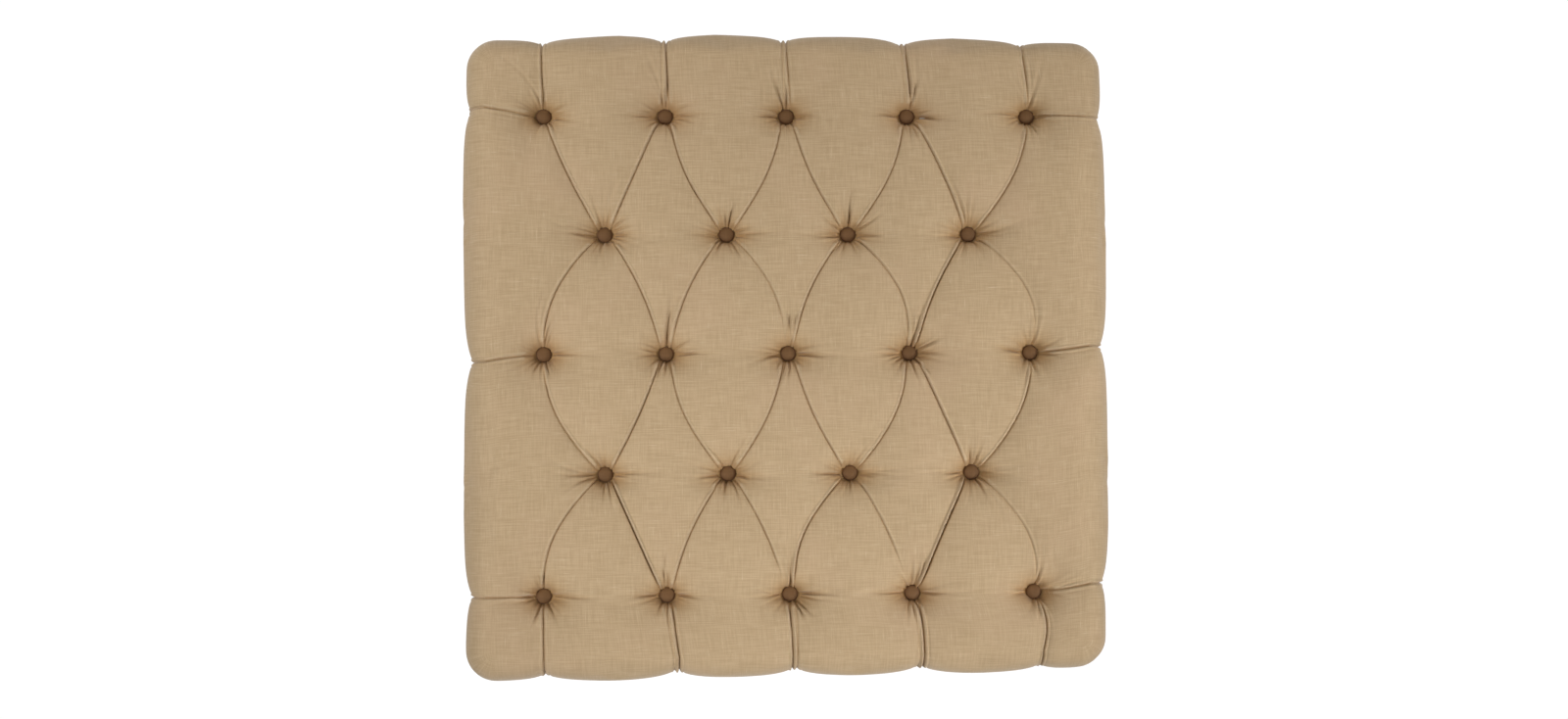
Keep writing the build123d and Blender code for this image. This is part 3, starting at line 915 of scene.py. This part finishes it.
def formPiece(name, top, rings):
    # The form as a mesh: the top's faces, then those between each ring and the one before it
    rows, columns = top.shape[:2]
    faces = []
    for r in range(rows - 1):
        for c in range(columns - 1):
            a = r * columns + c
            faces.append((a, a + 1, a + columns + 1, a + columns))
    last = [r * columns + c for r, c in zip(*perimeter(rows, columns))]
    around = len(last)
    for n in range(len(rings)):
        ring = [rows * columns + n * around + k for k in range(around)]
        for k in range(around):
            after = (k + 1) % around
            faces.append((last[k], ring[k], ring[after], last[after]))
        last = ring
    return meshPiece(name, np.concatenate([top.reshape(-1, 3), rings.reshape(-1, 3)]), faces)


def evenPattern():
    # Even places for the simulated cloth
    steps = clothLook["steps"] + 1
    return np.meshgrid(np.linspace(-patchX, patchX, steps), np.linspace(-patchY, patchY, steps))


def clothLevels():
    # The rings that the simulated cloth has, down to the hem
    shown = sideLevels()[:gridLook["rollSteps"] + gridLook["sideSteps"]]
    return shown[clothLook["ringStep"] - 1::clothLook["ringStep"]]


def pinShares(x, y, levels):
    # How firmly each point of the cloth is held: at the buttons and the hem, and less along folds
    held = np.where(fromButtons(x, y) < clothLook["holdRadius"], 1.0, 0.0)
    firmness, width = clothLook["foldHold"]
    runs = [points for _, _, points in foldRuns()] + [points for points, _, _ in borderRuns()]
    for points in runs:
        gap, _ = gapToRun(x, y, points)
        held = np.maximum(held, firmness * np.exp(-(gap / width) ** 2))
    around = perimeter(*x.shape)
    sides = [held[around]] * len(levels)
    sides[-1] = np.ones(len(around[0]))
    return np.concatenate([held.ravel(), *sides])


def relax(form, held):
    # Cloth held at buttons, folds and hem and pressed out by the filling; it stays in the mesh
    group = form.vertex_groups.new(name="held")
    tenths = np.round(held * 10).astype(int)
    for tenth in range(1, 11):
        group.add([int(n) for n in np.flatnonzero(tenths == tenth)], tenth / 10, "REPLACE")
    makeActive(form)
    cloth = form.modifiers.new("Cloth", "CLOTH")
    cloth.settings.quality = clothLook["quality"]
    cloth.settings.mass = clothLook["mass"]
    cloth.settings.tension_stiffness = clothLook["stiffness"]
    cloth.settings.compression_stiffness = clothLook["stiffness"]
    cloth.settings.bending_stiffness = clothLook["bending"]
    cloth.settings.vertex_group_mass = "held"
    cloth.settings.shrink_min = -clothLook["growth"]
    cloth.settings.use_pressure = True
    cloth.settings.uniform_pressure_force = clothLook["pressure"]
    cloth.settings.effector_weights.gravity = 0
    for step in range(1, clothLook["frames"] + 1):
        bpy.context.scene.frame_set(step)
    bpy.ops.object.modifier_apply(modifier=cloth.name)
    bpy.context.scene.frame_set(1)


def clothShift():
    # How far the filling moves each point of the simulated cloth: on the top, and ring by ring
    x, y = evenPattern()
    levels = clothLevels()
    top, rings = coverForm(x, y, levels)
    before = np.concatenate([top.reshape(-1, 3), rings.reshape(-1, 3)])
    shift = np.zeros(before.shape)
    form = formPiece("cloth_form", top, rings)
    relax(form, pinShares(x, y, levels))
    shift = np.array([vertex.co for vertex in form.data.vertices]) - before
    bpy.data.objects.remove(form)
    length = np.linalg.norm(shift, axis=1, keepdims=True)
    most = clothLook["mostMove"]
    shift *= most * np.tanh(length / most) / np.maximum(length, 1e-9)
    print("cloth relaxed")
    onTop = shift[:x.size].reshape(*x.shape, 3)
    onSides = np.concatenate([onTop[perimeter(*x.shape)][None], shift[x.size:].reshape(rings.shape)])
    return onTop, onSides


def splineShares(t):
    return (-0.5 * t + t ** 2 - 0.5 * t ** 3, 1 - 2.5 * t ** 2 + 1.5 * t ** 3,
            0.5 * t + 2 * t ** 2 - 1.5 * t ** 3, -0.5 * t ** 2 + 0.5 * t ** 3)


def smoothBetween(field, rowAt, columnAt, around=False):
    # The field's values between its points, on a smooth spline
    r0, c0 = np.floor(rowAt).astype(int), np.floor(columnAt).astype(int)
    total = np.zeros((*rowAt.shape, 3))
    for i, rowShare in enumerate(splineShares(rowAt - r0)):
        r = np.clip(r0 + i - 1, 0, field.shape[0] - 1)
        for j, columnShare in enumerate(splineShares(columnAt - c0)):
            c = c0 + j - 1
            c = c % field.shape[1] if around else np.clip(c, 0, field.shape[1] - 1)
            total += (rowShare * columnShare)[..., None] * field[r, c]
    return total


def addShift(shift, x, y, top, rings):
    # The simulated cloth's moves, on the finer cover
    onTop, onSides = shift
    steps = clothLook["steps"]
    u, v = (x / patchX + 1) / 2, (y / patchY + 1) / 2
    top = top + smoothBetween(onTop, v * steps, u * steps)
    around = perimeter(*x.shape)
    u, v = u[around], v[around]
    turns = np.select([v < 1e-6, u > 1 - 1e-6, v > 1 - 1e-6], [u, 1 + v, 3 - u], 4 - v)
    for n in range(gridLook["rollSteps"] + gridLook["sideSteps"]):
        ringAt = np.full(turns.shape, (n + 1) / clothLook["ringStep"])
        rings[n] += smoothBetween(onSides, ringAt, turns * steps, around=True)
    return top, rings


def clothPattern(x, y, top, rings):
    # Places on the flat cloth, in metres, for the weave: one for each point
    places = list(zip(x.ravel(), y.ravel()))
    around = perimeter(*x.shape)
    edge = list(zip(x[around], y[around]))
    previous = top[around]
    run = 0.0
    for ring in rings:
        run += float(np.median(np.linalg.norm(ring - previous, axis=1)))
        previous = ring
        for ex, ey in edge:
            if abs(ey) >= patchY - 1e-6:
                places.append((ex, ey + math.copysign(run, ey)))
            else:
                places.append((ex + math.copysign(run, ex), ey))
    return places


def paintedShading(x, y, top):
    # The attribute hollow, of painted shade and highlight: up to 1, darker, in wells and folds' lines,
    # and less than 0, paler, on folds' lips
    depth = np.clip((crownLevel(top[..., 0], top[..., 1]) - top[..., 2]) / wellDepth, 0, 1)
    folds = foldDetail(x, y)
    # Painted shade in the folds' lines
    shadedGrooves = np.clip(folds / coverLook["groove"][0], 0, 1) * coverLook["grooveShade"]
    # Painted highlight on the folds' lips
    ridges = np.clip(folds / coverLook["lip"][0], -1, 0) * (depth < 0.5)
    return np.where(ridges < -0.05, ridges, np.maximum(depth, shadedGrooves))


def buildCover(shift):
    x, y = topPattern()
    top, rings = addShift(shift, x, y, *coverForm(x, y, sideLevels(), detailed=True))
    cover = formPiece("tufted_cover", top, rings)
    places = clothPattern(x, y, top, rings)
    layer = cover.data.uv_layers.new(name="cloth")
    for loop in cover.data.loops:
        layer.data[loop.index].uv = places[loop.vertex_index]
    # Painted shade over the roll and down the sides
    turned = [coverLook["edgeShade"] * float(smoothStep(0.3, 1, share)) for share, _, _ in sideLevels()]
    marks = [paintedShading(x, y, top).ravel(), np.repeat(turned, rings.shape[1])]
    hollow = cover.data.attributes.new("hollow", "FLOAT", "POINT")
    hollow.data.foreach_set("value", np.concatenate(marks))
    cover.data.materials.append(linen)
    return cover


fillingLook = {"inset": 0.014, "sideInset": 0.008, "moves": 0.8, "hemGap": 0.004, "foamGap": 0.0005}


def buildWadding(shift):
    # The filling right under the cloth, closed round the foam and the frame
    look = fillingLook
    levels = clothLevels()
    top, rings = coverForm(*evenPattern(), levels, inset=look["inset"], sideInset=look["sideInset"])
    onTop, onSides = shift
    moves = look["moves"]
    wadding = formPiece("fibre_wadding", top + onTop * moves, rings + onSides[1:] * moves)
    wadding.data.materials.append(fibreFill)
    makeActive(wadding)
    setMode("EDIT")
    selectWhere(wadding, "EDGE", lambda edge: len(edge.link_faces) == 1)
    gap = look["foamGap"]
    for level in (coverLow[2] + look["hemGap"], foamHigh[2] + gap):
        bpy.ops.mesh.extrude_edges_move()
        shape = bmesh.from_edit_mesh(wadding.data)
        for vertex in shape.verts:
            if vertex.select:
                vertex.co.x = max(-foamHigh[0] - gap, min(foamHigh[0] + gap, vertex.co.x))
                vertex.co.y = max(-foamHigh[1] - gap, min(foamHigh[1] + gap, vertex.co.y))
                vertex.co.z = level
        bmesh.update_edit_mesh(wadding.data)
    bpy.ops.mesh.edge_face_add()
    bpy.ops.mesh.quads_convert_to_tris()
    setMode("OBJECT")
    return wadding


def buildFoam():
    foam = boxPiece(foamLow, foamHigh)
    foam.name = "foam_block"
    applyModifier(foam, "BEVEL", width=0.004, segments=3)
    foam.data.materials.append(foamCells)
    return foam


shift = clothShift()
cover = buildCover(shift)
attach(cover, "root")
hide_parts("cover")
print("cover made")

wadding = buildWadding(shift)
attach(wadding, "root")
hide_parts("wadding")
foam = buildFoam()
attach(foam, "root")
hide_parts("foam_core")
print("filling made")


# Covered buttons
buttonLook = {"rim": 0.0022, "dome": 0.0034, "segments": 24, "domeSteps": 4}


def buildButton():
    deselectAll()
    rim = buttonLook["rim"]
    bpy.ops.mesh.primitive_cylinder_add(vertices=buttonLook["segments"], radius=buttonRadius,
                                        depth=rim, location=(0, 0, rim / 2))
    button = bpy.context.object
    setMode("EDIT")
    selectWhere(button, "FACE", lambda face: face.normal.z > 0.9)
    for n in range(1, buttonLook["domeSteps"] + 1):
        angle, before = n * math.pi / 10, (n - 1) * math.pi / 10
        bpy.ops.mesh.inset(thickness=buttonRadius * (math.cos(before) - math.cos(angle)), depth=0)
        rise = buttonLook["dome"] * (math.sin(angle) - math.sin(before))
        bpy.ops.transform.translate(value=(0, 0, rise))
    setMode("OBJECT")
    bpy.ops.object.shade_smooth()
    return button


def copiesAt(first, places, name, material):
    # One piece of copies of the first, which is removed
    copies = []
    for place in places:
        copy = first.copy()
        copy.data = first.data.copy()
        bpy.context.scene.collection.objects.link(copy)
        copy.location = place
        copies.append(copy)
    bpy.data.objects.remove(first)
    deselectAll()
    for copy in copies:
        copy.select_set(True)
    bpy.context.view_layer.objects.active = copies[0]
    applyPlace()
    if len(copies) > 1:
        bpy.ops.object.join()
    made = bpy.context.object
    made.name = name
    made.data.materials.clear()
    made.data.materials.append(material)
    return made


seats = [(x, y, seatLevel) for x, y in buttonPlaces]
buttons = copiesAt(buildButton(), seats, "covered_buttons", linenButton)
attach(buttons, "root")
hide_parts("button_caps")
print("buttons made")


# Loops of flat twine, from the buttons' eyes down round the toggles
twineLook = {"thickness": 0.0008, "corner": 0.0011}
twineLow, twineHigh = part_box("tuft_twines")


def buildTwine():
    halfX, halfY = twineHigh[0] - outerX, twineHigh[1] - outerY
    twine = boxPiece((-halfX, -halfY, twineLow[2]), (halfX, halfY, twineHigh[2]))
    setMode("EDIT")
    selectWhere(twine, "FACE", lambda face: abs(face.normal.y) > 0.9)
    bpy.ops.mesh.delete(type="FACE")
    selectWhere(twine, "EDGE", lambda edge: len(edge.link_faces) == 2)
    bpy.ops.mesh.bevel(offset=twineLook["corner"], segments=4, affect="EDGES")
    setMode("OBJECT")
    applyModifier(twine, "SOLIDIFY", thickness=twineLook["thickness"], offset=-1)
    bpy.ops.object.shade_smooth_by_angle(angle=math.radians(40))
    return twine


twines = copiesAt(buildTwine(), [(x, y, 0) for x, y in buttonPlaces], "twine_loops", twineFibre)
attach(twines, "root")
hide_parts("tuft_twines")
print("twines made")


# Turned legs
legLook = {"segments": 56, "footShare": 14 / 26, "collar": 0.009, "round": 0.0016, "line": 0.0009}


def buildLeg(low, high):
    foot, top = low[2], high[2]
    collar = top - legLook["collar"]
    deselectAll()
    bpy.ops.mesh.primitive_cylinder_add(vertices=legLook["segments"], radius=(high[0] - low[0]) / 2,
                                        depth=top - foot, location=(0, 0, (foot + top) / 2))
    applyPlace()
    leg = bpy.context.object

    def selectRing(level):
        selectWhere(leg, "EDGE", lambda edge: all(abs(v.co.z - level) < 1e-5 for v in edge.verts))

    setMode("EDIT")
    bpy.ops.mesh.select_all(action="SELECT")
    bpy.ops.mesh.bisect(plane_co=(0, 0, collar), plane_no=(0, 0, 1))
    selectRing(foot)
    share = legLook["footShare"]
    bpy.ops.transform.resize(value=(share, share, 1), center_override=(0, 0, foot))
    for level, size in ((foot, legLook["round"]), (collar, legLook["line"]), (top, legLook["round"])):
        selectRing(level)
        bpy.ops.mesh.bevel(offset=size, segments=3, affect="EDGES")
    setMode("OBJECT")
    bpy.ops.object.shade_smooth_by_angle(angle=math.radians(35))
    return leg


legBoxes = {node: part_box(node) for node in ("leg_front_left", "leg_front_right", "leg_back_left",
                                            "leg_back_right")}
legPlaces = [((low[0] + high[0]) / 2, (low[1] + high[1]) / 2) for low, high in legBoxes.values()]
for (node, (low, high)), (x, y) in zip(legBoxes.items(), legPlaces):
    leg = copiesAt(buildLeg(low, high), [(x, y, 0)], "turned_" + node, stainedWood)
    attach(leg, "root")
    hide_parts(node)
print("legs made")


# The dust cover under the frame
dustLook = {
    "sag": 0.006,
    "pucker": 0.0012,           # between the staples
    "thickness": 0.0006,
    "steps": 64,
    "legGap": 0.0015,
    "gaps": 3,                  # spaces between the staples of a side
}
dustLow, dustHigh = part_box("dust_cover")


def dustStops(low, high, middles, reach):
    # Mesh lines across the cloth, with one at each edge of the holes round the legs
    cuts = [m + side * reach for m in sorted(set(middles)) for side in (-1, 1)]
    step = (high - low) / dustLook["steps"]
    even = [low + step * n for n in range(dustLook["steps"] + 1)]
    return np.array(sorted(cuts + [v for v in even if min(abs(v - c) for c in cuts) > step / 3]))


def buildDustCloth():
    lowLeg, highLeg = legBoxes["leg_front_left"]
    reach = (highLeg[0] - lowLeg[0]) / 2 + dustLook["legGap"]
    xs = dustStops(dustLow[0], dustHigh[0], [round(x, 5) for x, _ in legPlaces], reach)
    ys = dustStops(dustLow[1], dustHigh[1], [round(y, 5) for _, y in legPlaces], reach)
    x, y = np.meshgrid(xs, ys)
    inX, inY = dustHigh[0] - np.abs(x), dustHigh[1] - np.abs(y)
    gap = np.minimum(inX, inY)
    along = np.where(inX < inY, y, x)
    spacing = (dustHigh[0] - dustLow[0]) / dustLook["gaps"]
    waves = dustLook["pucker"] * np.sin(np.pi * along / spacing) ** 2 * np.exp(-gap / 0.030)
    sag = dustLook["sag"] * smoothStep(0.014, 0.22, gap) + waves * smoothStep(0.003, 0.012, gap)
    clearance = 0.0001
    z = dustHigh[2] - dustLook["thickness"] / 2 - clearance - sag
    columns = len(xs)
    faces = []
    for r in range(len(ys) - 1):
        for c in range(columns - 1):
            middle = (xs[c] + xs[c + 1]) / 2, (ys[r] + ys[r + 1]) / 2
            if not any(max(abs(middle[0] - px), abs(middle[1] - py)) < reach for px, py in legPlaces):
                a = r * columns + c
                faces.append((a, a + 1, a + columns + 1, a + columns))
    cloth = meshPiece("dust_cloth", np.stack([x, y, z], axis=-1).reshape(-1, 3), faces)
    makeActive(cloth)
    setMode("EDIT")
    bpy.ops.mesh.select_all(action="SELECT")
    bpy.ops.mesh.delete_loose()
    setMode("OBJECT")
    applyModifier(cloth, "SOLIDIFY", thickness=dustLook["thickness"], offset=0)
    cloth.data.materials.append(dustCloth)
    return cloth, reach


cloth, reach = buildDustCloth()
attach(cloth, "root")
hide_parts("dust_cover")
print("dust cloth made")


# Finishes of the frame and its fittings
finishes = [
    (pineAlongX, ["rail_front", "rail_back", *(f"deck_slat_{n}" for n in range(1, 7))]),
    (pineAlongY, ["rail_left", "rail_right", "stretcher_left", "stretcher_right"]),
    (blockWood, ["corner_blocks", "tuft_toggles"]),
    (zincSteel, ["leg_bolts", "leg_nuts", "button_eyes"]),
    (glidePlastic, ["leg_glides"]),
    (stapleWire, ["cover_staples", "dust_cover_staples", "rail_staples", "slat_staples"]),
]
for material, nodes in finishes:
    for node in nodes:
        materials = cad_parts[node].data.materials
        materials.clear()
        materials.append(material)
print("finishes set")


# Floor, light and camera
stageLook = {"floorSize": 14, "floorGlow": 1.10, "floorShare": 0.9, "roomLight": 0.22}


def seenShare(tree):
    # 1 for what the camera sees, also in a mirror or through glass, and 0 for light on other things
    rays = addNode(tree, "ShaderNodeLightPath").outputs
    seen = mathNode("MAXIMUM", rays["Is Camera Ray"], rays["Is Glossy Ray"])
    return mathNode("MAXIMUM", seen, rays["Is Transmission Ray"])


def mixShaders(share, first, second, socket):
    mix = addNode(share.id_data, "ShaderNodeMixShader")
    plugAll((share, first, second), mix.inputs)
    plug(mix.outputs[0], socket)


def buildFloor():
    deselectAll()
    bpy.ops.mesh.primitive_plane_add(size=stageLook["floorSize"], location=(0, 0, 0))
    floor = bpy.context.object
    floor.name = "floor"
    material, tree, _ = newMaterial("paleFloor", (0.86, 0.86, 0.86), 0.9)
    shader = tree.nodes["Principled BSDF"].outputs[0]
    glow = addNode(tree, "ShaderNodeEmission", Color=(1, 1, 1, 1), Strength=stageLook["floorGlow"])
    share = times(seenShare(tree), stageLook["floorShare"])
    mixShaders(share, shader, glow.outputs[0], tree.nodes["Material Output"].inputs["Surface"])
    floor.data.materials.append(material)


def buildWorld():
    world = bpy.data.worlds.new("softRoom")
    bpy.context.scene.world = world
    world.use_nodes = True
    tree = world.node_tree
    light = tree.nodes["Background"]
    plugAll(((1, 0.985, 0.96, 1), stageLook["roomLight"]), light.inputs)
    white = addNode(tree, "ShaderNodeBackground", Color=(1, 1, 1, 1), Strength=1.0)
    mixShaders(seenShare(tree), light.outputs[0], white.outputs[0],
               tree.nodes["World Output"].inputs["Surface"])


strip = {"size": (1.7, 0.5), "spread": 40, "tint": (1, 0.98, 0.95)}
lampLook = {
    "right": {"place": (1.55, -0.90, 1.75), "aim": (0.32, -0.15, 0.42), "power": 3.5, **strip},
    "left": {"place": (-1.60, -0.35, 1.75), "aim": (-0.38, 0.14, 0.42), "power": 2.8, **strip},
    "back": {"place": (0.10, 2.0, 1.5), "aim": (0, 0, 0.40), "power": 12.0, "size": (1.0, 1.0),
             "spread": 180, "tint": (1, 0.95, 0.89)},
}


def buildLamps():
    for name, look in lampLook.items():
        data = bpy.data.lights.new(name, "AREA")
        data.shape = "RECTANGLE"
        data.size, data.size_y = look["size"]
        data.spread = math.radians(look["spread"])
        data.energy = look["power"]
        data.color = look["tint"]
        lamp = bpy.data.objects.new(name, data)
        bpy.context.scene.collection.objects.link(lamp)
        lamp.location = look["place"]
        lamp.visible_camera = False
        aim = Vector(look["aim"]) - lamp.location
        lamp.rotation_euler = aim.to_track_quat("-Z", "Y").to_euler()


cameraLook = {
    "place": (-0.1555, -0.2204, 3.53),
    "turn": (3.888, -2.704, -0.455),        # degrees from straight down
    "lens": 50.8,
    "sensor": 36,
}


def buildCamera():
    data = bpy.data.cameras.new("topView")
    data.lens = cameraLook["lens"]
    data.sensor_width = cameraLook["sensor"]
    camera = bpy.data.objects.new("topView", data)
    bpy.context.scene.collection.objects.link(camera)
    camera.location = cameraLook["place"]
    camera.rotation_euler = [math.radians(v) for v in cameraLook["turn"]]
    bpy.context.scene.camera = camera


buildFloor()
buildWorld()
buildLamps()
buildCamera()
bpy.context.scene.view_settings.view_transform = "Standard"
print("stage set")
